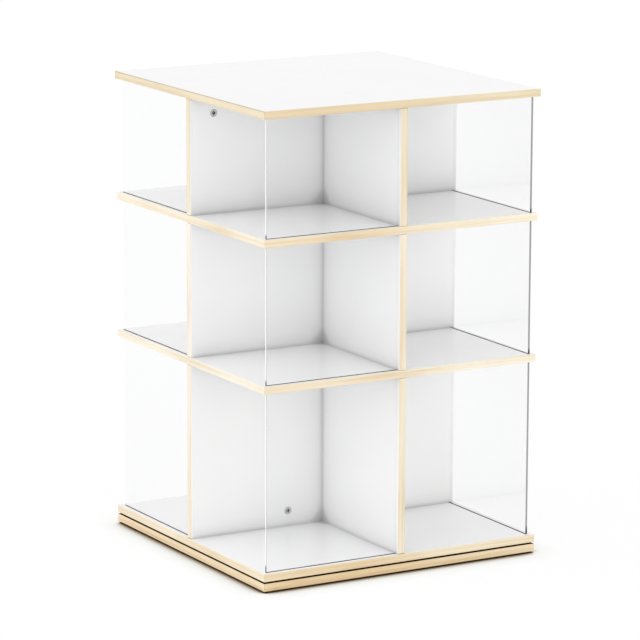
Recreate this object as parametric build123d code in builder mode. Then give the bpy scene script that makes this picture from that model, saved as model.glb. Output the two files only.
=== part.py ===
from build123d import *
import os

# A square bookcase of three open tiers that turns on a base board. Lengths are in millimetres.
# The origin is on the floor, on the turning axis, with +Z up, and the front looks along -Y.
# The case is alike at each quarter turn about the axis. Places are given once, for the divider
# arm that points along -X, and are then turned.

# Boards
board_side = 600.0  # top, bottom and base boards, edge strips included
board_thickness = 15.0  # top, shelves and bottom
base_thickness = 15.0
divider_thickness = 15.0
shelf_setback = 2.0  # shelves and dividers stay this far inside the top and bottom boards
strip_thickness = 2.0  # wood strips glued along the edges
strip_ease = 0.5  # chamfer along a strip's outer edges
strip_joint = 0.1  # hairline between two strips at a corner
strip_end_gap = 0.4  # hairline above and below a divider's strip

# Heights
glide_height = 3.5  # the base board stands this far above the floor
turn_gap = 3.5  # open gap between the base board and the bottom board
lower_tier_height = 343.0
middle_tier_height = 261.0
upper_tier_height = 224.0

# Clear panes, each held at its foot by a seal in the board below, and at its head by a groove above
pane_thickness = 4.0
pane_inset = 8.0  # from the shelf edge in to the pane's outer face
pane_end_inset = 8.0  # from the shelf's side edge to the pane's free end
pane_ease = 0.4  # chamfer on the free end
pane_head_play = 1.0  # a pane stands on its seal and stops short of the upper groove
groove_depth = 4.0
groove_play = 0.2  # round a seal or a pane in its groove
seal_wall = 0.5  # lips of the seal, one on each side of the pane
seal_floor = 0.8  # under the pane
seal_proud = 0.4  # above the board's face
seal_play = 0.1  # between the pane and each lip

# Dowels
dowel_diameter = 8.0
dowel_depth = 15.0  # into each divider
dowel_floor = 5.0  # board left beyond a dowel that stops inside it
dowel_play = 0.1  # round a dowel
dowel_end_play = 0.5  # beyond a dowel's end
cross_dowel_shares = (0.25, 0.75)  # heights of the dowels through the cross, in a tier's height

# Fixing places along a divider arm
inner_fixing_reach = 85.0  # from the turning axis
outer_fixing_inset = 51.0  # from the arm's outer end

# Cam fittings: a round housing in the divider's face, and a bolt from the board into it
cam_diameter = 15.0
cam_distance = 30.5  # from the divider's edge to the middle of the housing
cam_floor = 2.5  # divider left behind the housing
cam_play = 0.1
cam_recess_length = 8.0  # arms of the driver recess
cam_recess_width = 2.0
cam_recess_floor = 1.0
cam_socket_diameter = 6.0  # round middle of the driver recess
cam_rim_ease = 0.4
bolt_diameter = 6.0
bolt_neck_diameter = 4.0
bolt_head_diameter = 7.0
bolt_head_length = 4.0
bolt_hole_diameter = 8.0
bolt_play = 0.1
bolt_end_play = 0.3
bolt_floor = 1.5  # board left between a bolt and the turntable
bolt_room = 0.7  # free room round the bolt's neck and head inside the housing

# Turntable: two plates let into the boards, balls in a cage between them, a rivet through both
plate_radius = 130.0
plate_thickness = 2.5
plate_play = 0.5
race_inset = 20.0  # from the plate's rim to the middle of the ball race
race_depth = 1.0  # how far the balls reach into each plate
race_play = 0.15
ball_count = 24
cage_width = 14.0
cage_gap = 0.7  # between the cage and each plate
cage_play = 0.15  # round a ball in the cage
rivet_radius = 8.0
rivet_bore_radius = 6.0
rivet_flange_radius = 13.0
rivet_flange_thickness = 1.2
rivet_seat_play = 0.05  # in the lower plate, which holds the rivet
rivet_running_play = 0.1  # in the upper plate, which turns on the rivet
rivet_float = 0.3  # between the upper plate and the rivet's upper flange
rivet_room = 1.0  # round the rivet's flanges in the boards
access_radius = 11.0  # hole in base board and lower plate, to reach the screws above

# Countersunk screws that hold the turntable's plates
screw_inset = 50.0  # from the plate's rim
screw_radius = 2.0
screw_land = 0.5  # plate left under the cone of a screw head
screw_floor = 3.0  # board left beyond a screw
screw_tip_length = 3.0
screw_play = 0.1
screw_recess_width = 0.9
screw_recess_depth = 1.2
countersink_angle = 90.0

# Glides, pressed into the underside of the base board
glide_radius = 12.0
glide_ease = 0.8
glide_inset = 35.0  # from the base board's edges to the outer glides
glide_pin_radius = 1.5
glide_pin_floor = 2.5  # base board left between a glide's pin and the turntable
glide_pin_play = 0.1

# Quarter turns of the case, by the side that each arm points to
sides = {"left": 0.0, "front": 90.0, "right": 180.0, "back": 270.0}
eighth_turn = 45.0

# Ways that a place on an arm can face
up = (0, 0, 0)
down = (180, 0, 0)
outward = (90, 0, 0)
outward_inverted = (90, 0, 180)
towards_axis = (0, 90, 0)

# Levels, from the floor up
base_top = glide_height + base_thickness
bottom_level = base_top + turn_gap
lower_floor = bottom_level + board_thickness
lower_shelf_level = lower_floor + lower_tier_height
middle_floor = lower_shelf_level + board_thickness
upper_shelf_level = middle_floor + middle_tier_height
upper_floor = upper_shelf_level + board_thickness
top_level = upper_floor + upper_tier_height
tiers = {
    "lower": (lower_floor, lower_tier_height),
    "middle": (middle_floor, middle_tier_height),
    "upper": (upper_floor, upper_tier_height),
}

# Sizes that follow from the ones above
tower_side = board_side - 2 * shelf_setback
arm_reach = tower_side / 2
arm_core_reach = arm_reach - strip_thickness
divider_half = divider_thickness / 2
outer_fixing_reach = arm_reach - outer_fixing_inset
fixing_reaches = (inner_fixing_reach, outer_fixing_reach)
dowel_radius = dowel_diameter / 2
dowel_hole_radius = dowel_radius + dowel_play
dowel_hole_depth = dowel_depth + dowel_end_play
dowel_bite = board_thickness - dowel_floor
shelf_dowel_length = board_thickness + 2 * dowel_depth
cross_dowel_length = divider_thickness + 2 * dowel_depth
bolt_bite = board_thickness - plate_thickness - bolt_floor
cam_hole_depth = divider_thickness - cam_floor
ball_radius = turn_gap / 2 + race_depth
ball_level = base_top + turn_gap / 2
race_radius = plate_radius - race_inset
cage_thickness = turn_gap - 2 * cage_gap
lower_plate_level = base_top - plate_thickness
upper_plate_top = bottom_level + plate_thickness
screw_reach = plate_radius - screw_inset
screw_head_radius = screw_radius + plate_thickness - screw_land
glide_pin_length = base_thickness - plate_thickness - glide_pin_floor


def turned(angle, level=0.0):
    """A level plane turned about the axis."""
    return Plane(Location((0, 0, level), (0, 0, angle)))


def on_arms(reach, level, across=0.0, facing=up, angles=sides.values()):
    """Places on the divider arms, each so far from the axis, at a level and to one side."""
    spot = Location((-reach, across, level), facing)
    return [Location((0, 0, 0), (0, 0, angle)) * spot for angle in angles]


def save(piece, label):
    """Name a finished piece and write it."""
    piece.part.label = label
    export_step(piece.part, f"parts/{label}.step")


os.makedirs("parts", exist_ok=True)

screw_angles = sides.values()
upper_screw_angles = [angle + eighth_turn for angle in sides.values()]
access_place = on_arms(screw_reach, base_top, angles=[eighth_turn])


# Edge strips: four mitred strips round a square board
def make_board_strips(label, side, level, thickness):
    outer = side / 2
    inner = outer - strip_thickness
    with BuildPart() as strips:
        with BuildSketch(Plane.XY.offset(level)):
            with PolarLocations(0, len(sides)):
                Polygon(
                    (-outer + strip_joint, -outer),
                    (outer - strip_joint, -outer),
                    (inner - strip_joint, -inner),
                    (-inner + strip_joint, -inner),
                    align=None,
                )
        extrude(amount=thickness)
        chamfer(strips.edges().group_by(SortBy.LENGTH)[-1], strip_ease)
    save(strips, label)


make_board_strips("base_edge_strips", board_side, glide_height, base_thickness)
make_board_strips("bottom_edge_strips", board_side, bottom_level, board_thickness)
make_board_strips("lower_shelf_edge_strips", tower_side, lower_shelf_level, board_thickness)
make_board_strips("upper_shelf_edge_strips", tower_side, upper_shelf_level, board_thickness)
make_board_strips("top_edge_strips", board_side, top_level, board_thickness)

# Places of the panes, one along the left half of each face, and what takes their feet and heads
pane_across = arm_reach - pane_inset - pane_thickness / 2
pane_start = divider_half + groove_play
pane_end = arm_reach - pane_end_inset
pane_middle = (pane_start + pane_end) / 2
pane_length = pane_end - pane_start
seal_slot_width = pane_thickness + 2 * seal_play
seal_width = seal_slot_width + 2 * seal_wall


def pane_plan(width, end_play=0.0):
    """Plan of four strips of one width, each along the middle line of a pane."""
    with BuildSketch() as plan:
        with PolarLocations(0, len(sides)):
            with Locations((-pane_across, pane_middle)):
                Rectangle(width, pane_length + 2 * end_play)
    return plan.sketch


foot_grooves = pane_plan(seal_width + 2 * groove_play, groove_play)
head_grooves = pane_plan(pane_thickness + 2 * groove_play, groove_play)


# Boards of the case
with BuildPart() as top_board:
    with BuildSketch(Plane.XY.offset(top_level)):
        Rectangle(board_side - 2 * strip_thickness, board_side - 2 * strip_thickness)
    extrude(amount=board_thickness)
    with BuildSketch(Plane.XY.offset(top_level)):
        add(head_grooves)
    extrude(amount=groove_depth, mode=Mode.SUBTRACT)
    with Locations(*on_arms(inner_fixing_reach, top_level, facing=down)):
        Hole(dowel_hole_radius, dowel_bite + dowel_end_play)
    with Locations(*on_arms(outer_fixing_reach, top_level, facing=down)):
        Hole(bolt_diameter / 2 + bolt_play, bolt_bite + bolt_end_play)
save(top_board, "top_board")


def make_shelf(label, level):
    with BuildPart() as shelf:
        with BuildSketch(Plane.XY.offset(level)):
            Rectangle(2 * arm_core_reach, 2 * arm_core_reach)
        extrude(amount=board_thickness)
        with BuildSketch(Plane.XY.offset(level)):
            add(head_grooves)
        extrude(amount=groove_depth, mode=Mode.SUBTRACT)
        with BuildSketch(Plane.XY.offset(level + board_thickness - groove_depth)):
            add(foot_grooves)
        extrude(amount=groove_depth, mode=Mode.SUBTRACT)
        for reach in fixing_reaches:
            with Locations(*on_arms(reach, level + board_thickness)):
                Hole(dowel_hole_radius, board_thickness)
    save(shelf, label)


make_shelf("lower_shelf", lower_shelf_level)
make_shelf("upper_shelf", upper_shelf_level)

with BuildPart() as bottom_board:
    with BuildSketch(Plane.XY.offset(bottom_level)):
        Rectangle(board_side - 2 * strip_thickness, board_side - 2 * strip_thickness)
    extrude(amount=board_thickness)
    with BuildSketch(Plane.XY.offset(lower_floor - groove_depth)):
        add(foot_grooves)
    extrude(amount=groove_depth, mode=Mode.SUBTRACT)
    with Locations(*on_arms(inner_fixing_reach, lower_floor)):
        Hole(bolt_diameter / 2 + bolt_play, bolt_bite + bolt_end_play)
    with Locations(*on_arms(outer_fixing_reach, lower_floor)):
        Hole(dowel_hole_radius, dowel_bite + dowel_end_play)
    # Recess for the turntable's upper plate, with room for the rivet and the screws
    with Locations(Location((0, 0, bottom_level), down)):
        Hole(plate_radius + plate_play, plate_thickness)
    with Locations(Location((0, 0, upper_plate_top), down)):
        Hole(rivet_flange_radius + rivet_room, rivet_float + rivet_flange_thickness + rivet_room)
    with Locations(*on_arms(screw_reach, bottom_level, facing=down, angles=upper_screw_angles)):
        Hole(screw_radius + screw_play, board_thickness - screw_floor + screw_play)
save(bottom_board, "bottom_board")


# Dividers: holes for dowels and cam fittings in an edge that meets a board
def drill_divider_edge(level, facing, dowel_reaches, cam_reaches, angles):
    into = 1 if facing == down else -1
    for reach in dowel_reaches:
        with Locations(*on_arms(reach, level, facing=facing, angles=angles)):
            Hole(dowel_hole_radius, dowel_hole_depth)
    for reach in cam_reaches:
        with Locations(*on_arms(reach, level, facing=facing, angles=angles)):
            Hole(bolt_hole_diameter / 2, cam_distance)
        cam_level = level + into * cam_distance
        with Locations(*on_arms(reach, cam_level, -divider_half, outward, angles)):
            Hole(cam_diameter / 2, cam_hole_depth)


def drill_divider_edges(tier, angles):
    floor, height = tiers[tier]
    at_foot = (fixing_reaches, ())
    at_head = (fixing_reaches, ())
    if tier == "lower":
        at_foot = ((outer_fixing_reach,), (inner_fixing_reach,))
    if tier == "upper":
        at_head = ((inner_fixing_reach,), (outer_fixing_reach,))
    drill_divider_edge(floor, down, *at_foot, angles)
    drill_divider_edge(floor + height, up, *at_head, angles)


def make_through_divider(tier):
    floor, height = tiers[tier]
    with BuildPart() as divider:
        with BuildSketch(Plane.XY.offset(floor)):
            Rectangle(2 * arm_core_reach, divider_thickness)
        extrude(amount=height)
        drill_divider_edges(tier, (sides["left"], sides["right"]))
        for share in cross_dowel_shares:
            with Locations(Location((0, -divider_half, floor + share * height), outward)):
                Hole(dowel_hole_radius, divider_thickness)
    save(divider, f"{tier}_through_divider")


def make_half_divider(tier, side):
    floor, height = tiers[tier]
    angle = sides[side]
    length = arm_core_reach - divider_half
    with BuildPart() as divider:
        with BuildSketch(turned(angle, floor)):
            with Locations((-divider_half - length / 2, 0)):
                Rectangle(length, divider_thickness)
        extrude(amount=height)
        drill_divider_edges(tier, (angle,))
        for share in cross_dowel_shares:
            level = floor + share * height
            with Locations(*on_arms(divider_half, level, facing=towards_axis, angles=(angle,))):
                Hole(dowel_hole_radius, dowel_hole_depth)
    save(divider, f"{tier}_{side}_divider")


def make_divider_strips(tier):
    floor, height = tiers[tier]
    with BuildPart() as strips:
        with BuildSketch(Plane.XY.offset(floor + strip_end_gap)):
            with PolarLocations(arm_reach - strip_thickness / 2, len(sides)):
                Rectangle(strip_thickness, divider_thickness)
        extrude(amount=height - 2 * strip_end_gap)
        upright_faces = strips.faces().filter_by(Axis.Z, reverse=True)
        outer_faces = upright_faces.group_by(lambda face: face.normal_at().dot(face.center()))[-1]
        chamfer(outer_faces.edges(), strip_ease)
    save(strips, f"{tier}_divider_edge_strips")


for tier in tiers:
    make_through_divider(tier)
    make_half_divider(tier, "front")
    make_half_divider(tier, "back")
    make_divider_strips(tier)


# Seals: a dark channel under each pane
def make_seals(tier):
    seal_foot = tiers[tier][0] - groove_depth
    seal_height = groove_depth + seal_proud
    with BuildPart() as seals:
        with BuildSketch(Plane.XY.offset(seal_foot)):
            add(pane_plan(seal_width))
        extrude(amount=seal_height)
        with BuildSketch(Plane.XY.offset(seal_foot + seal_floor)):
            add(pane_plan(seal_slot_width))
        extrude(amount=seal_height - seal_floor, mode=Mode.SUBTRACT)
    save(seals, f"{tier}_pane_seals")


# Clear panes
def make_pane(tier, side):
    floor, height = tiers[tier]
    pane_foot = floor - groove_depth + seal_floor
    pane_head = floor + height + groove_depth - pane_head_play
    with BuildPart() as pane:
        with BuildSketch(turned(sides[side], pane_foot)):
            with Locations((-pane_across, pane_middle)):
                Rectangle(pane_thickness, pane_length)
        extrude(amount=pane_head - pane_foot)
        free_end = pane.edges().filter_by(Axis.Z).sort_by_distance((0, 0, floor))[-2:]
        chamfer(free_end, pane_ease)
    save(pane, f"{tier}_{side}_pane")


for tier in tiers:
    make_seals(tier)
    for side in sides:
        make_pane(tier, side)


# Dowels
def make_dowels(label, length, places):
    with BuildPart() as dowels:
        with Locations(*places):
            Cylinder(dowel_radius, length)
    save(dowels, label)


shelf_dowel_places = []
for shelf_level in (lower_shelf_level, upper_shelf_level):
    for reach in fixing_reaches:
        shelf_dowel_places += on_arms(reach, shelf_level + board_thickness / 2)
make_dowels("shelf_dowels", shelf_dowel_length, shelf_dowel_places)

board_dowel_middle = (dowel_depth - dowel_bite) / 2
board_dowel_places = on_arms(outer_fixing_reach, lower_floor + board_dowel_middle)
board_dowel_places += on_arms(inner_fixing_reach, top_level - board_dowel_middle)
make_dowels("board_dowels", dowel_bite + dowel_depth, board_dowel_places)

cross_dowel_places = []
for floor, height in tiers.values():
    for share in cross_dowel_shares:
        cross_dowel_places.append(Location((0, 0, floor + share * height), outward))
make_dowels("cross_dowels", cross_dowel_length, cross_dowel_places)

# Cam housing, with its face at the origin, looking up, and its bolt coming from +Y
cam_radius = cam_diameter / 2 - cam_play
cam_length = cam_hole_depth - cam_play
cam_front_wall = divider_half - bolt_head_diameter / 2 - bolt_room
cam_slot_front = divider_half - bolt_neck_diameter / 2 - bolt_room
cam_cavity_radius = (bolt_head_diameter + bolt_head_length) / 2 - bolt_room
with BuildPart() as cam_housing:
    with BuildSketch():
        Circle(cam_radius)
    extrude(amount=-cam_length)
    with BuildSketch(Plane.XY.offset(-cam_length)):
        Circle(cam_cavity_radius)
    extrude(amount=cam_length - cam_front_wall, mode=Mode.SUBTRACT)
    with BuildSketch(Plane.XY.offset(-cam_length)):
        with Locations((0, cam_radius / 2)):
            Rectangle(bolt_neck_diameter + 2 * bolt_room, cam_radius)
    extrude(amount=cam_length - cam_slot_front, mode=Mode.SUBTRACT)
    chamfer(cam_housing.edges().filter_by(GeomType.CIRCLE).sort_by(Axis.Z)[-1], cam_rim_ease)
    with BuildSketch():
        Rectangle(cam_recess_length, cam_recess_width)
        Rectangle(cam_recess_width, cam_recess_length)
        Circle(cam_socket_diameter / 2)
    extrude(amount=cam_recess_floor - cam_front_wall, mode=Mode.SUBTRACT)

with BuildPart() as cam_housings:
    with Locations(*on_arms(outer_fixing_reach, top_level - cam_distance, -divider_half, outward)):
        add(cam_housing.part)
    with Locations(
        *on_arms(inner_fixing_reach, lower_floor + cam_distance, -divider_half, outward_inverted)
    ):
        add(cam_housing.part)
save(cam_housings, "cam_housings")

# Cam bolt, standing on a board's face at the origin
bolt_shank_length = cam_distance - cam_diameter / 2 - bolt_room
with BuildPart() as cam_bolt:
    with BuildSketch(Plane.XZ):
        with BuildLine():
            Polyline(
                (0, -bolt_bite),
                (bolt_diameter / 2, -bolt_bite),
                (bolt_diameter / 2, bolt_shank_length),
                (bolt_neck_diameter / 2, bolt_shank_length),
                (bolt_neck_diameter / 2, cam_distance - bolt_head_length / 2),
                (bolt_head_diameter / 2, cam_distance - bolt_head_length / 2),
                (bolt_head_diameter / 2, cam_distance + bolt_head_length / 2),
                (0, cam_distance + bolt_head_length / 2),
                close=True,
            )
        make_face()
    revolve(axis=Axis.Z)

with BuildPart() as cam_bolts:
    with Locations(*on_arms(inner_fixing_reach, lower_floor)):
        add(cam_bolt.part)
    with Locations(*on_arms(outer_fixing_reach, top_level, facing=down)):
        add(cam_bolt.part)
save(cam_bolts, "cam_bolts")

# Base board, with the recess for the turntable's lower plate
glide_corner_spacing = board_side - 2 * glide_inset
with GridLocations(glide_corner_spacing, glide_corner_spacing, 2, 2) as glide_corners:
    glide_places = [Location((0, 0, glide_height)) * place for place in glide_corners.locations]
glide_places += on_arms(race_radius, glide_height)

with BuildPart() as base_board:
    with BuildSketch(Plane.XY.offset(glide_height)):
        Rectangle(board_side - 2 * strip_thickness, board_side - 2 * strip_thickness)
    extrude(amount=base_thickness)
    with Locations((0, 0, base_top)):
        Hole(plate_radius + plate_play, plate_thickness)
    with Locations((0, 0, lower_plate_level)):
        Hole(rivet_flange_radius + rivet_room, rivet_flange_thickness + rivet_room)
    with Locations(*on_arms(screw_reach, base_top, angles=screw_angles)):
        Hole(screw_radius + screw_play, base_thickness - screw_floor + screw_play)
    with Locations(*access_place):
        Hole(access_radius, base_thickness)
    with Locations(*[place * Location((0, 0, 0), down) for place in glide_places]):
        Hole(glide_pin_radius + glide_pin_play, glide_pin_length + glide_pin_play)
save(base_board, "base_board")

# Glides: a flat foot with a pin
with BuildPart() as glide:
    with BuildSketch(Plane.XZ):
        with BuildLine():
            Polyline(
                (0, -glide_height),
                (glide_radius, -glide_height),
                (glide_radius, 0),
                (glide_pin_radius, 0),
                (glide_pin_radius, glide_pin_length - glide_pin_radius),
                (0, glide_pin_length),
                close=True,
            )
        make_face()
    revolve(axis=Axis.Z)
    fillet(glide.edges().filter_by(GeomType.CIRCLE).sort_by(Axis.Z)[0], glide_ease)

with BuildPart() as floor_glides:
    with Locations(*glide_places):
        add(glide.part)
save(floor_glides, "floor_glides")

# Turntable
with BuildPart() as lower_swivel_plate:
    with BuildSketch(Plane.XY.offset(lower_plate_level)):
        Circle(plate_radius)
        Circle(rivet_radius + rivet_seat_play, mode=Mode.SUBTRACT)
    extrude(amount=plate_thickness)
    with BuildSketch(Plane.XZ):
        with Locations((race_radius, ball_level)):
            Circle(ball_radius + race_play)
    revolve(axis=Axis.Z, mode=Mode.SUBTRACT)
    with Locations(*on_arms(screw_reach, base_top, angles=screw_angles)):
        CounterSinkHole(
            screw_radius + screw_play,
            screw_head_radius + screw_play,
            counter_sink_angle=countersink_angle,
        )
    with Locations(*access_place):
        Hole(access_radius)
save(lower_swivel_plate, "lower_swivel_plate")

with BuildPart() as upper_swivel_plate:
    with BuildSketch(Plane.XY.offset(bottom_level)):
        Circle(plate_radius)
        Circle(rivet_radius + rivet_running_play, mode=Mode.SUBTRACT)
    extrude(amount=plate_thickness)
    with BuildSketch(Plane.XZ):
        with Locations((race_radius, ball_level)):
            Circle(ball_radius + race_play)
    revolve(axis=Axis.Z, mode=Mode.SUBTRACT)
    with Locations(*on_arms(screw_reach, bottom_level, facing=down, angles=upper_screw_angles)):
        CounterSinkHole(
            screw_radius + screw_play,
            screw_head_radius + screw_play,
            counter_sink_angle=countersink_angle,
        )
save(upper_swivel_plate, "upper_swivel_plate")

with BuildPart() as ball_cage:
    with BuildSketch(Plane.XY.offset(ball_level - cage_thickness / 2)):
        Circle(race_radius + cage_width / 2)
        Circle(race_radius - cage_width / 2, mode=Mode.SUBTRACT)
        with PolarLocations(race_radius, ball_count):
            Circle(ball_radius + cage_play, mode=Mode.SUBTRACT)
    extrude(amount=cage_thickness)
save(ball_cage, "ball_cage")

with BuildPart() as bearing_balls:
    with Locations((0, 0, ball_level)):
        with PolarLocations(race_radius, ball_count):
            Sphere(ball_radius)
save(bearing_balls, "bearing_balls")

rivet_foot = lower_plate_level - rivet_flange_thickness
rivet_neck_top = upper_plate_top + rivet_float
rivet_top = rivet_neck_top + rivet_flange_thickness
with BuildPart() as pivot_rivet:
    with BuildSketch(Plane.XZ):
        with BuildLine():
            Polyline(
                (rivet_bore_radius, rivet_foot),
                (rivet_flange_radius, rivet_foot),
                (rivet_flange_radius, lower_plate_level),
                (rivet_radius, lower_plate_level),
                (rivet_radius, rivet_neck_top),
                (rivet_flange_radius, rivet_neck_top),
                (rivet_flange_radius, rivet_top),
                (rivet_bore_radius, rivet_top),
                close=True,
            )
        make_face()
    revolve(axis=Axis.Z)
save(pivot_rivet, "pivot_rivet")


# Countersunk screws, hanging from their flush heads
def make_screws(label, length, places):
    cone_depth = screw_head_radius - screw_radius
    with BuildPart() as screw:
        with BuildSketch(Plane.XZ):
            with BuildLine():
                Polyline(
                    (0, 0),
                    (screw_head_radius, 0),
                    (screw_radius, -cone_depth),
                    (screw_radius, screw_tip_length - length),
                    (0, -length),
                    close=True,
                )
            make_face()
        revolve(axis=Axis.Z)
        with BuildSketch():
            Rectangle(screw_head_radius, screw_recess_width)
            Rectangle(screw_recess_width, screw_head_radius)
        extrude(amount=-screw_recess_depth, mode=Mode.SUBTRACT)
    with BuildPart() as screws:
        with Locations(*places):
            add(screw.part)
    save(screws, label)


make_screws(
    "base_screws",
    base_thickness - screw_floor,
    on_arms(screw_reach, base_top, angles=screw_angles),
)
make_screws(
    "bottom_board_screws",
    board_thickness - screw_floor,
    on_arms(screw_reach, bottom_level, facing=down, angles=upper_screw_angles),
)
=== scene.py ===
import math
import bpy
from mathutils import Matrix, Vector

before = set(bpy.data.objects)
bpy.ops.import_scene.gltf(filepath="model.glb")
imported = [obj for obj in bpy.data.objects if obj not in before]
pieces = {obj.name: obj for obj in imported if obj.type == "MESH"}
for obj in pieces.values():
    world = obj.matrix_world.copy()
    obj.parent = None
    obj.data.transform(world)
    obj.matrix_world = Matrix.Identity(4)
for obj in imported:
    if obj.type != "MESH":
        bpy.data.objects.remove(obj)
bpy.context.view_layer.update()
scene = bpy.context.scene
print("loaded", len(pieces), "pieces of the revolving bookcase")


# Small helpers for building a finish out of nodes

mixSockets = {"FLOAT": (2, 3, 0), "VECTOR": (4, 5, 1), "RGBA": (6, 7, 2)}  # inputs and output of a Mix node
squareOn = 0.5  # a face looks along an axis where its normal's part along that axis is larger than this


def startFinish(name):
    finish = bpy.data.materials.new(name)
    finish.use_nodes = True
    return finish, finish.node_tree, finish.node_tree.nodes["Principled BSDF"]


def addNode(tree, kind, inputs, **settings):
    node = tree.nodes.new("ShaderNode" + kind)
    for key, value in settings.items():
        setattr(node, key, value)
    for key, value in inputs.items():
        if isinstance(value, bpy.types.NodeSocket):
            tree.links.new(value, node.inputs[key])
        else:
            node.inputs[key].default_value = value
    return node


def addPlace(tree, kind):
    return addNode(tree, "TexCoord", {}).outputs[kind]  # Object is in metres and carried along with the piece


def addParts(tree, vector):
    return addNode(tree, "SeparateXYZ", {"Vector": vector}).outputs


def addVector(tree, x, y, z):
    return addNode(tree, "CombineXYZ", {"X": x, "Y": y, "Z": z}).outputs["Vector"]


def addShare(tree, axis):
    # 0 at the left end or foot of a piece, 1 at its right end or head
    return addParts(tree, addPlace(tree, "Generated"))[axis]


def addMath(tree, operation, first, second=0.0):
    return addNode(tree, "Math", {0: first, 1: second}, operation=operation).outputs["Value"]


def addSize(tree, value):
    return addMath(tree, "ABSOLUTE", value)


def addFacing(tree, normalPart):
    return addMath(tree, "GREATER_THAN", addSize(tree, normalPart), squareOn)


def addRange(tree, value, low, high):
    return addNode(tree, "MapRange", {"Value": value, "To Min": low, "To Max": high}).outputs["Result"]


def addFade(tree, value, start, end):
    return addNode(tree, "MapRange", {"Value": value, "From Min": start, "From Max": end}).outputs["Result"]


def addNoise(tree, spot, scale, detail):
    return addNode(tree, "TexNoise", {"Vector": spot, "Scale": scale, "Detail": detail}).outputs["Fac"]


def addMix(tree, kind, share, first, second, blend="MIX"):
    low, high, result = mixSockets[kind]
    mix = addNode(tree, "Mix", {0: share, low: first, high: second}, data_type=kind, blend_type=blend)
    return mix.outputs[result]


def addProduct(tree, first, second):
    return addMix(tree, "RGBA", 1.0, first, second, "MULTIPLY")


def addShaderMix(tree, share, first, second):
    return addNode(tree, "MixShader", {0: share, 1: first, 2: second}).outputs["Shader"]


def addRamp(tree, factor, stops):
    node = addNode(tree, "ValToRGB", {"Fac": factor})
    ramp = node.color_ramp
    while len(ramp.elements) < len(stops):
        ramp.elements.new(0.5)  # moved to its own place below
    for element, (position, colour) in zip(ramp.elements, stops):
        element.position = position
        element.color = (*colour, 1.0)
    return node.outputs["Color"]


def addGreyRamp(tree, factor, stops):
    return addRamp(tree, factor, [(position, [level] * 3) for position, level in stops])


def tintStops(stops, tint):
    return [(position, [part * share for part, share in zip(colour, tint)]) for position, colour in stops]


def addCornerShade(tree, colour, reach, tones):
    # painted shade: darkens a colour where another surface stands close by, in corners, gaps and under things
    openness = addNode(tree, "AmbientOcclusion", {"Distance": reach}).outputs["AO"]
    return addProduct(tree, colour, addRamp(tree, openness, tones))


def addBump(tree, shader, height, strength, depth):
    bump = addNode(tree, "Bump", {"Height": height, "Strength": strength, "Distance": depth})
    tree.links.new(bump.outputs["Normal"], shader.inputs["Normal"])


def showSurface(tree, surface):
    tree.links.new(surface, tree.nodes["Material Output"].inputs["Surface"])


def dress(finish, names):
    for name in names:
        mesh = pieces[name].data
        mesh.materials.clear()
        mesh.materials.append(finish)


# White laminate on the boards and dividers
laminate = {
    "tones": [(0.35, (0.900, 0.901, 0.901)), (0.65, (0.915, 0.915, 0.913))],
    "boardLightLevels": {  # shares of those tones, board by board; painted light and shade that stands in for how much light each board gets
        "top_board": 0.922,
        "upper_shelf": 0.96,
        "lower_shelf": 0.98,
        "bottom_board": 1.0,
        "base_board": 1.0,
    },
    # painted light: the dividers' white is set lighter than the boards'
    "dividerLevel": 1.07,
    "riseShadeTones": {  # painted shade: share of the dividers' level from foot to head, tier by tier, darker towards the foot
        "lower": [(0.0, 0.885), (0.08, 0.905), (0.20, 0.930), (0.50, 0.945), (1.0, 0.985)],
        "middle": [(0.0, 0.840), (0.10, 0.870), (0.25, 0.910), (0.45, 0.945), (1.0, 1.0)],
        "upper": [(0.0, 0.760), (0.08, 0.810), (0.20, 0.875), (0.40, 0.925), (1.0, 1.0)],
    },
    "dividerReach": 0.298,  # metres from the turning axis to a divider's end
    "axisLightTones": [(0.05, 1.0), (0.25, 0.995), (0.55, 0.968), (1.0, 0.942)],  # painted light and shade: lighter near the axis and darker towards that end
    "cloudScale": 5.0,  # per metre
    "cloudDetail": 3.0,
    "cornerShadeReach": 0.035,  # metres from a corner over which painted shade darkens the white
    "cornerShadeTones": [
        (0.04, (0.10, 0.055, 0.02)),
        (0.28, (0.50, 0.50, 0.50)),
        (0.50, (0.68, 0.68, 0.68)),
        (0.62, (0.93, 0.93, 0.93)),
        (0.95, (1.0, 1.0, 1.0)),
    ],
    "gapShadeTones": [  # painted shade on the base board, deep in the gap round the turntable
        (0.04, (0.04, 0.012, 0.001)),
        (0.40, (0.06, 0.020, 0.002)),
        (0.70, (0.60, 0.52, 0.42)),
        (0.95, (1.0, 1.0, 1.0)),
    ],
    "gloss": 0.5,
    "gapGloss": 0.0,  # none, so that the gap stays dark
    "sheen": (0.14, 0.22),  # roughness from patch to patch
    "peelScale": 700.0,
    "peelDetail": 2.0,
    "peelStrength": 0.06,
    "peelDepth": 0.0002,
}


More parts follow.
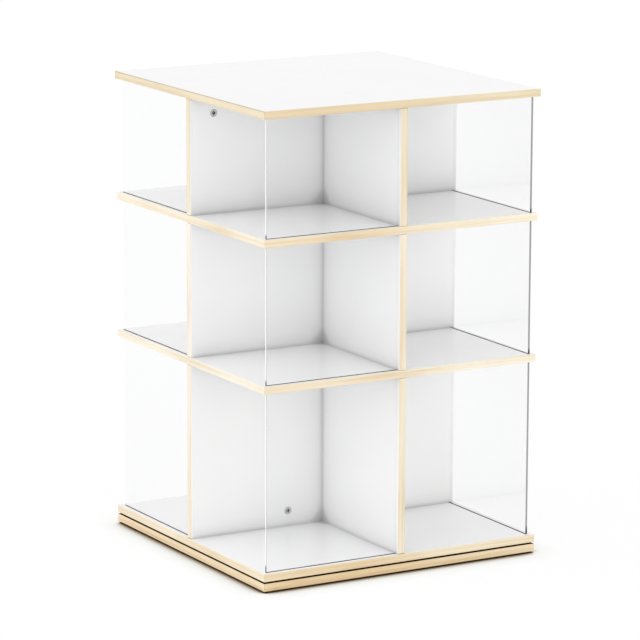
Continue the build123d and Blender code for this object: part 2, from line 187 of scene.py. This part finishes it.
def makeLaminate(name, level, riseShadeTones=None, inGap=False):
    finish, tree, shader = startFinish(name)
    spot = addPlace(tree, "Object")
    clouds = addNoise(tree, spot, laminate["cloudScale"], laminate["cloudDetail"])
    white = addRamp(tree, clouds, tintStops(laminate["tones"], [level] * 3))
    # painted shade on the dividers: darker towards the foot of each tier and towards the outer end
    if riseShadeTones:
        x, y, _ = addParts(tree, spot)
        fromAxis = addMath(tree, "MAXIMUM", addSize(tree, x), addSize(tree, y))
        outwards = addMath(tree, "DIVIDE", fromAxis, laminate["dividerReach"])
        white = addProduct(tree, white, addGreyRamp(tree, addShare(tree, "Z"), riseShadeTones))
        white = addProduct(tree, white, addGreyRamp(tree, outwards, laminate["axisLightTones"]))
    # painted shade in the corners, or deep in the gap on the base board
    cornerShadeTones = laminate["gapShadeTones" if inGap else "cornerShadeTones"]
    tree.links.new(addCornerShade(tree, white, laminate["cornerShadeReach"], cornerShadeTones), shader.inputs["Base Color"])
    tree.links.new(addRange(tree, clouds, *laminate["sheen"]), shader.inputs["Roughness"])
    shader.inputs["Specular IOR Level"].default_value = laminate["gapGloss" if inGap else "gloss"]
    peel = addNoise(tree, spot, laminate["peelScale"], laminate["peelDetail"])
    addBump(tree, shader, peel, laminate["peelStrength"], laminate["peelDepth"])
    return finish


for board, level in laminate["boardLightLevels"].items():
    dress(makeLaminate("whiteLaminate." + board, level, inGap=board == "base_board"), [board])
for tier, riseShadeTones in laminate["riseShadeTones"].items():
    dividers = [name for name in pieces if name.startswith(tier) and name.endswith("_divider")]
    dress(makeLaminate("whiteLaminate." + tier, laminate["dividerLevel"], riseShadeTones), dividers)
print("laminate on", len(laminate["boardLightLevels"]), "boards and", len(laminate["riseShadeTones"]), "divider tiers")


# Pale wood on the edges, with the grain along each strip
wood = {
    "tones": [
        (0.30, (0.680, 0.532, 0.335)),
        (0.50, (0.847, 0.744, 0.571)),
        (0.70, (0.901, 0.842, 0.719)),
    ],
    # the grain's layers, stretched per metre along, across and into the strip
    "drift": {"stretch": (5.0, 30.0, 30.0), "detail": 2.0},  # slow changes of tone
    "bands": {"stretch": (1.6, 170.0, 170.0), "detail": 3.0},
    "fibres": {"stretch": (12.0, 900.0, 900.0), "detail": 2.0},
    "bandShare": 0.5,
    "fibreShare": 0.25,
    "frontReflectionTones": [  # painted reflection on the level strips along the front and back: paler towards the right of the front
        (0.42, (0.917, 0.860, 0.780)),
        (0.60, (0.955, 0.945, 0.920)),
        (0.80, (0.985, 0.995, 0.990)),
        (1.00, (0.995, 1.0, 1.0)),
    ],
    "frontUprightTone": (0.94, 0.925, 0.887, 1.0),
    "sideTone": (0.955, 0.960, 0.975, 1.0),  # strips on the left and right
    "uprightTones": {
        "lower": (0.985, 0.995, 1.02),
        "middle": (1.02, 1.033, 1.105),
        "upper": (0.935, 0.937, 0.91),
    },
    "levelTones": {
        "top": (0.895, 0.86, 0.77),
        "upper_shelf": (1.0, 1.01, 1.02),
        "lower_shelf": (1.0, 1.025, 1.065),
        "bottom": (0.99, 0.97, 0.92),
        "base": (0.99, 0.93, 0.84),
    },
    "gapLapShadeTones": [  # painted shade on the base's strips, dark where the case stands over them
        (0.76, (0.06, 0.020, 0.002)),
        (0.92, (1.0, 1.0, 1.0)),
    ],
    "arrisShares": (0.86, 0.94),  # of the top strips' height, where a dark line sets in on the left and right
    "arrisTone": (0.45, 0.38, 0.26, 1.0),
    # painted shade, brownish, in the corners and gaps round each strip
    "cornerShadeReach": 0.012,
    "cornerShadeTones": [
        (0.05, (0.14, 0.06, 0.02)),
        (0.45, (0.74, 0.62, 0.48)),
        (0.75, (0.97, 0.95, 0.92)),
        (0.95, (1.0, 1.0, 1.0)),
    ],
    "sheen": (0.38, 0.55),
    "bumpStrength": 0.25,
    "bumpDepth": 0.0002,
}


def addGrainLayer(tree, spot, layer):
    stretched = addNode(tree, "VectorMath", {0: spot, 1: layer["stretch"]}, operation="MULTIPLY")
    return addNoise(tree, stretched.outputs["Vector"], 1.0, layer["detail"])


def makeWood(name, tone, upright=False, arris=False, inGap=False):
    finish, tree, shader = startFinish(name)
    x, y, z = addParts(tree, addPlace(tree, "Object"))
    onSide = addMath(tree, "GREATER_THAN", addSize(tree, x), addSize(tree, y))

    # along the strip first: up a divider, or along whichever side of the board the strip lies on
    if upright:
        grainSpot = addVector(tree, z, x, y)
        frontTone = wood["frontUprightTone"]
    else:
        grainSpot = addMix(tree, "VECTOR", onSide, addVector(tree, x, z, y), addVector(tree, y, z, x))
        # painted reflection: the front strips grow paler towards the right
        frontTone = addRamp(tree, addShare(tree, "X"), wood["frontReflectionTones"])
    layers = [wood["drift"], wood["bands"], wood["fibres"]]
    drift, bands, fibres = [addGrainLayer(tree, grainSpot, layer) for layer in layers]
    broad = addMix(tree, "FLOAT", wood["bandShare"], drift, bands)
    grain = addMix(tree, "FLOAT", wood["fibreShare"], broad, fibres)
    faceTone = addMix(tree, "RGBA", onSide, frontTone, wood["sideTone"])
    toned = addProduct(tree, addRamp(tree, grain, tintStops(wood["tones"], tone)), faceTone)

    # bare on the outer face, under the laminate on the others
    normalX, normalY, _ = addParts(tree, addPlace(tree, "Normal"))
    bare = addFacing(tree, addMix(tree, "FLOAT", onSide, normalY, normalX))
    lapTone = (*laminate["tones"][0][1], 1.0)
    # in the gap, painted shade darkens the laminate lapped over the base's strips
    if inGap:
        lapTone = addCornerShade(tree, lapTone, laminate["cornerShadeReach"], wood["gapLapShadeTones"])
        shader.inputs["Specular IOR Level"].default_value = laminate["gapGloss"]
    lapped = addMix(tree, "RGBA", bare, lapTone, toned)
    sheen = addMix(tree, "FLOAT", bare, laminate["sheen"][1], addRange(tree, fibres, *wood["sheen"]))

    # painted shade in the corners and gaps round each strip
    colour = addCornerShade(tree, lapped, wood["cornerShadeReach"], wood["cornerShadeTones"])
    if arris:
        rim = addFade(tree, addShare(tree, "Z"), *wood["arrisShares"])
        line = addMath(tree, "MULTIPLY", addMath(tree, "MULTIPLY", rim, onSide), bare)
        colour = addMix(tree, "RGBA", line, colour, wood["arrisTone"])
    tree.links.new(colour, shader.inputs["Base Color"])
    tree.links.new(sheen, shader.inputs["Roughness"])
    addBump(tree, shader, fibres, wood["bumpStrength"], wood["bumpDepth"])
    return finish


for tier, tone in wood["uprightTones"].items():
    dress(makeWood("paleWood." + tier, tone, upright=True), [tier + "_divider_edge_strips"])
for board, tone in wood["levelTones"].items():
    levelFinish = makeWood("paleWood." + board, tone, arris=board == "top", inGap=board == "base")
    dress(levelFinish, [board + "_edge_strips"])
print("wood on", len(wood["uprightTones"]) + len(wood["levelTones"]), "sets of edge strips")


# Clear acrylic panes, with polished ends that get a painted reflection, dark straight on and bright at a
# slant, and painted shade towards their foot
acrylic = {
    "colour": (0.966, 0.969, 0.970, 1.0),
    "ior": 1.49,
    "clarity": 1.0,
    "smudgeScale": 7.0,
    "smudgeDetail": 4.0,
    "sheen": (0.0, 0.015),
    "slantBlend": 0.5,
    "endReflectionTones": [(0.12, (0.16, 0.16, 0.16)), (0.45, (0.93, 0.94, 0.94))],  # painted reflection on the ends, from straight on to a slant
    "endFoot": (0.035, 0.060),  # painted shade: share of the height over which an end darkens towards its foot
    "footShadeTone": (0.02, 0.02, 0.02, 1.0),
    "endRoughness": 0.12,
}


def makeAcrylic(name, endAxis):
    finish, tree, shader = startFinish(name)
    shader.inputs["Base Color"].default_value = acrylic["colour"]
    shader.inputs["IOR"].default_value = acrylic["ior"]
    shader.inputs["Transmission Weight"].default_value = acrylic["clarity"]
    smudges = addNoise(tree, addPlace(tree, "Object"), acrylic["smudgeScale"], acrylic["smudgeDetail"])
    tree.links.new(addRange(tree, smudges, *acrylic["sheen"]), shader.inputs["Roughness"])

    # ends of the sheet, clear to light that comes from inside it
    # painted reflection on the ends by slant, and painted shade towards their foot
    slant = addNode(tree, "LayerWeight", {"Blend": acrylic["slantBlend"]}).outputs["Facing"]
    aboveFoot = addFade(tree, addShare(tree, "Z"), *acrylic["endFoot"])
    endTone = addMix(tree, "RGBA", aboveFoot, acrylic["footShadeTone"], addRamp(tree, slant, acrylic["endReflectionTones"]))
    polished = addNode(tree, "BsdfPrincipled", {"Base Color": endTone, "Roughness": acrylic["endRoughness"]})
    clear = addNode(tree, "BsdfTransparent", {})
    fromInside = addNode(tree, "NewGeometry", {}).outputs["Backfacing"]
    end = addShaderMix(tree, fromInside, polished.outputs["BSDF"], clear.outputs["BSDF"])

    atEnd = addFacing(tree, addParts(tree, addPlace(tree, "Normal"))[endAxis])
    showSurface(tree, addShaderMix(tree, atEnd, shader.outputs["BSDF"], end))
    return finish


paneEnds = {"front": "X", "back": "X", "left": "Y", "right": "Y"}  # the way along each face's panes
for side, endAxis in paneEnds.items():
    panes = [name for name in pieces if name.endswith(side + "_pane")]
    dress(makeAcrylic("clearAcrylic." + side, endAxis), panes)
    for name in panes:
        pieces[name].visible_shadow = False  # light on its way to the boards passes straight through
        pieces[name].visible_diffuse = False
print("acrylic on the panes of", len(paneEnds), "faces")


# Metal fittings, the turntable and the small parts
fittings = {
    # castZinc paints shade into the recess of each cam housing
    "castZinc": {"tones": [(0.3, (0.50, 0.50, 0.51)), (0.7, (0.66, 0.66, 0.68))], "metallic": 1.0,
                 "sheen": (0.35, 0.55), "scale": 900.0, "names": ["cam_housings"],
                 "cornerShadeReach": 0.006, "cornerShadeTones": [(0.50, (0.01, 0.01, 0.01)), (0.80, (1.0, 1.0, 1.0))]},
    "platedSteel": {"tones": [(0.3, (0.60, 0.60, 0.61)), (0.7, (0.72, 0.72, 0.73))], "metallic": 1.0,
                    "sheen": (0.25, 0.40), "scale": 700.0,
                    "names": ["cam_bolts", "base_screws", "bottom_board_screws", "pivot_rivet"]},
    "turntableSteel": {"tones": [(0.3, (0.40, 0.40, 0.42)), (0.7, (0.48, 0.48, 0.50))], "metallic": 1.0,
                       "sheen": (0.35, 0.50), "scale": 300.0,
                       "names": ["lower_swivel_plate", "upper_swivel_plate"]},
    "ballSteel": {"tones": [(0.3, (0.70, 0.70, 0.72)), (0.7, (0.78, 0.78, 0.80))], "metallic": 1.0,
                  "sheen": (0.08, 0.16), "scale": 400.0, "names": ["bearing_balls"]},
    "sealRubber": {"tones": [(0.3, (0.040, 0.037, 0.034)), (0.7, (0.060, 0.056, 0.052))], "metallic": 0.0,
                   "sheen": (0.55, 0.75), "scale": 800.0,
                   "names": ["lower_pane_seals", "middle_pane_seals", "upper_pane_seals"]},
    "cageNylon": {"tones": [(0.3, (0.80, 0.79, 0.74)), (0.7, (0.86, 0.85, 0.81))], "metallic": 0.0,
                  "sheen": (0.40, 0.55), "scale": 500.0, "names": ["ball_cage"]},
    "glidePlastic": {"tones": [(0.3, (0.020, 0.018, 0.016)), (0.7, (0.035, 0.030, 0.026))], "metallic": 0.0,
                     "sheen": (0.45, 0.60), "scale": 600.0, "names": ["floor_glides"]},
    "dowelWood": {"tones": [(0.3, (0.58, 0.42, 0.26)), (0.7, (0.70, 0.54, 0.36))], "metallic": 0.0,
                  "sheen": (0.60, 0.75), "scale": 500.0,
                  "names": ["shelf_dowels", "board_dowels", "cross_dowels"]},
}
fittingGrit = {"detail": 3.0, "strength": 0.15, "depth": 0.0001}


def makeFitting(name, look):
    finish, tree, shader = startFinish(name)
    grit = addNoise(tree, addPlace(tree, "Object"), look["scale"], fittingGrit["detail"])
    colour = addRamp(tree, grit, look["tones"])
    # painted shade in the recess of a fitting
    if "cornerShadeReach" in look:
        colour = addCornerShade(tree, colour, look["cornerShadeReach"], look["cornerShadeTones"])
    tree.links.new(colour, shader.inputs["Base Color"])
    tree.links.new(addRange(tree, grit, *look["sheen"]), shader.inputs["Roughness"])
    shader.inputs["Metallic"].default_value = look["metallic"]
    addBump(tree, shader, grit, fittingGrit["strength"], fittingGrit["depth"])
    return finish


for fittingName, fittingLook in fittings.items():
    dress(makeFitting(fittingName, fittingLook), fittingLook["names"])
print("finishes on", len(fittings), "kinds of fitting")


# What the camera sees, straight, in gloss or through a pane
def addSeen(tree):
    path = addNode(tree, "LightPath", {}).outputs
    straightOrGloss = addMath(tree, "MAXIMUM", path["Is Camera Ray"], path["Is Glossy Ray"])
    return addMath(tree, "MAXIMUM", straightOrGloss, path["Is Transmission Ray"])


# Pale floor that takes the shadow, with a painted shadow under the base board
floor = {
    "size": 120.0,
    "colour": (0.96, 0.96, 0.96, 1.0),
    "roughness": 1.0,
    "gloss": 0.0,
    "glow": 1.05,  # brings the floor up to white where the camera sees it
    "glowShare": 0.85,
    "cornerShadeReach": 0.06,
    "cornerShadeTones": [  # painted shadow: a dark line under the base board that fades out within that reach
        (0.05, (0.02, 0.012, 0.004)),
        (0.50, (0.13, 0.09, 0.055)),
        (0.56, (0.40, 0.34, 0.27)),
        (0.62, (0.69, 0.65, 0.58)),
        (0.70, (0.85, 0.84, 0.80)),
        (0.82, (0.95, 0.95, 0.94)),
        (1.00, (1.0, 1.0, 1.0)),
    ],
}


def makeFloor():
    bpy.ops.mesh.primitive_plane_add(size=floor["size"])
    plane = bpy.context.object
    plane.name = "studioFloor"
    finish, tree, shader = startFinish("studioFloor")
    # painted shadow round the base board
    shade = addCornerShade(tree, floor["colour"], floor["cornerShadeReach"], floor["cornerShadeTones"])
    tree.links.new(shade, shader.inputs["Base Color"])
    shader.inputs["Roughness"].default_value = floor["roughness"]
    shader.inputs["Specular IOR Level"].default_value = floor["gloss"]
    glow = addNode(tree, "Emission", {"Color": shade, "Strength": floor["glow"]})
    share = addRange(tree, addSeen(tree), 0.0, floor["glowShare"])
    showSurface(tree, addShaderMix(tree, share, shader.outputs["BSDF"], glow.outputs["Emission"]))
    plane.data.materials.append(finish)


makeFloor()

# Soft light all round, before a white background
surround = {"colour": (1.0, 1.0, 1.0, 1.0), "light": 0.877, "background": 1.0}


def makeSurround():
    world = bpy.data.worlds.new("studio")
    world.use_nodes = True
    tree = world.node_tree
    sky = tree.nodes["Background"].inputs
    sky["Color"].default_value = surround["colour"]
    tree.links.new(addRange(tree, addSeen(tree), surround["light"], surround["background"]), sky["Strength"])
    scene.world = world


makeSurround()

# Broad lamps, each shining from its direction towards the bookcase
lamps = {
    "softLeft": {"from": (-1.0, -0.1, 0.05), "spread": 80.0, "strength": 0.95},
    "softFront": {"from": (0.3, -1.0, 0.05), "spread": 80.0, "strength": 1.112},
    "softBack": {"from": (-0.7, 0.7, 0.20), "spread": 80.0, "strength": 0.785},
}


def makeLamp(name, look):
    lamp = bpy.data.lights.new(name, "SUN")
    lamp.angle = math.radians(look["spread"])
    lamp.energy = look["strength"]
    holder = bpy.data.objects.new(name, lamp)
    holder.rotation_euler = Vector(look["from"]).to_track_quat("Z", "Y").to_euler()
    holder.visible_glossy = False  # gloss mirrors the plain white surround
    scene.collection.objects.link(holder)


for lampName, lampLook in lamps.items():
    makeLamp(lampName, lampLook)
print("studio floor, surround and", len(lamps), "lamps")

# Camera, as the photograph was taken
viewpoint = {
    "place": (-3.698, -6.4065, 1.9806),
    "yaw": 29.935,  # degrees to the right of straight ahead
    "pitch": 11.782,  # degrees below level
    "roll": 0.192,
    "lens": 218.14,
    "farthest": 200.0,
}
levelTilt = 90.0  # from straight down, as a new camera looks, to level


def turned(degrees, axis):
    return Matrix.Rotation(math.radians(degrees), 4, axis)


camera = bpy.data.objects.new("camera", bpy.data.cameras.new("camera"))
scene.collection.objects.link(camera)
camera.data.lens = viewpoint["lens"]
camera.data.clip_end = viewpoint["farthest"]
camera.matrix_world = (
    Matrix.Translation(viewpoint["place"])
    @ turned(-viewpoint["yaw"], "Z")
    @ turned(levelTilt - viewpoint["pitch"], "X")
    @ turned(viewpoint["roll"], "Z")
)
scene.camera = camera
scene.view_settings.view_transform = "Standard"
print("camera set")
